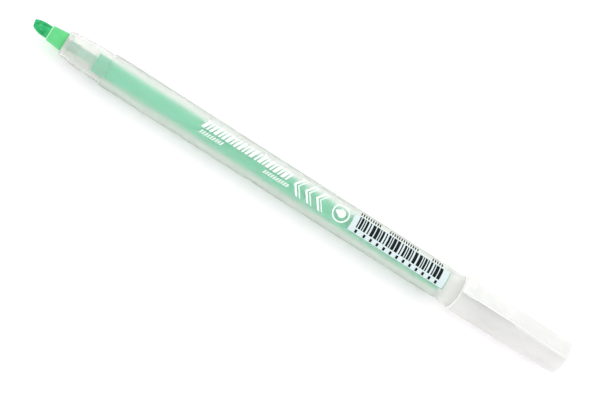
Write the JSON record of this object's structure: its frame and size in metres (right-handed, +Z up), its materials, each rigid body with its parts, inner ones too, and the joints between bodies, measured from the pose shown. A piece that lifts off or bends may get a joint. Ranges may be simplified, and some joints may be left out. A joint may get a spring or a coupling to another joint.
{
  "type": "stick highlighter",
  "caption": "Slim translucent stick highlighter with a chisel nib, a fibre ink reservoir inside and a clip cap pushed onto its tail.",
  "frame": {"origin": "on the surface the pen lies on, under the middle of its length, with the cap pushed onto the tail", "axes": "+X along the pen from the nib towards the tail, +Z up, the clip points up"},
  "size_m": [0.1558, 0.0096, 0.0125],
  "materials": {
    "frosted_pp": "frosted translucent polypropylene, faint green cast",
    "fibre_nib": "pressed polyester fibre, wet with fluorescent green ink",
    "green_collar": "satin moulded plastic, fluorescent green",
    "ink_core": "bundled polyester fibre, soaked with fluorescent green ink",
    "clear_film": "thin clear film",
    "white_pp": "natural milky polypropylene",
    "sticker": "printed film sticker, satin",
    "cap_pp": "translucent polypropylene, polished"
  },
  "bodies": {
    "pen": {"barrel": "frosted_pp", "nib": "fibre_nib", "nib_holder": "green_collar", "ink_reservoir": "ink_core", "reservoir_film": "clear_film", "tail_plug": "white_pp", "label": "sticker"},
    "cap_carrier": {"inner_cap": "white_pp"},
    "cap": {"cap": "cap_pp"},
    "clip": {"clip": "cap_pp"}
  },
  "joints": [
    {"name": "cap_pull", "type": "slide", "parent": "pen", "child": "cap_carrier", "axis": [1, 0, 0], "range_m": [0, 0.03]},
    {"name": "cap_turn", "type": "hinge", "parent": "cap_carrier", "child": "cap", "pos_m": [0.058, 0, 0.00485], "axis": [1, 0, 0], "continuous": true},
    {"name": "clip_flex", "type": "hinge", "parent": "cap", "child": "clip", "pos_m": [0.06125, 0, 0.0108], "axis": [0, 1, 0], "range_deg": [0, 6], "stiffness_Nm_per_rad": 0.1}
  ]
}
